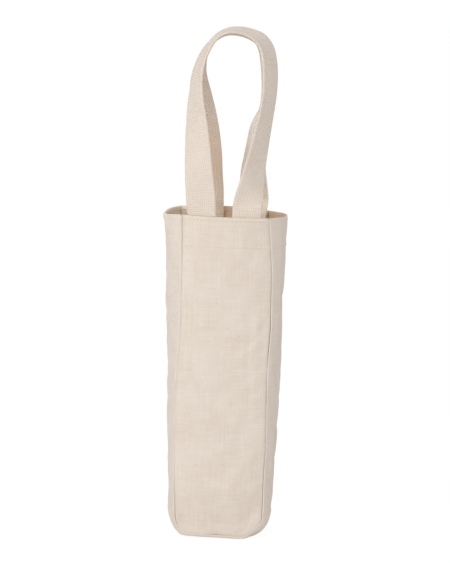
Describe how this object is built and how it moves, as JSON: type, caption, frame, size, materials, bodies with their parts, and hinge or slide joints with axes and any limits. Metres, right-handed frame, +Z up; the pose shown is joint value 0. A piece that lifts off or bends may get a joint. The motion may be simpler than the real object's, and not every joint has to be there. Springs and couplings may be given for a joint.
{
  "type": "bottle carrier",
  "caption": "Upright cotton-canvas bag for one wine bottle, with a square gusseted body and webbing handles that meet in a tall loop.",
  "frame": {"origin": "middle of the bag's floor, on the surface that it stands on", "axes": "+Z up to the handles, -Y out of the front panel, +X to the right seen from the front"},
  "size_m": [0.1098, 0.0964, 0.4421],
  "materials": {
    "canvas": "natural unbleached cotton canvas, plain weave with small specks",
    "webbing": "natural cotton webbing, heavy ribbed weave",
    "thread": "natural sewing thread"
  },
  "bodies": {
    "bag": {"front_panel": "canvas", "back_panel": "canvas", "gusset_strip": "canvas", "front_handle_ends": "webbing", "back_handle_ends": "webbing", "rim_topstitch": "thread", "hem_stitch": "thread", "front_seam_thread": "thread", "back_seam_thread": "thread"},
    "front_handle": {"front_handle_loop": "webbing"},
    "back_handle": {"back_handle_loop": "webbing"}
  },
  "joints": [
    {"name": "front_handle_swing", "type": "hinge", "parent": "bag", "child": "front_handle", "pos_m": [0, -0.04397, 0.29], "axis": [1, 0, 0], "range_deg": [0, 140]},
    {"name": "back_handle_swing", "type": "hinge", "parent": "bag", "child": "back_handle", "pos_m": [0, 0.04397, 0.29], "axis": [-1, 0, 0], "range_deg": [0, 140]}
  ]
}
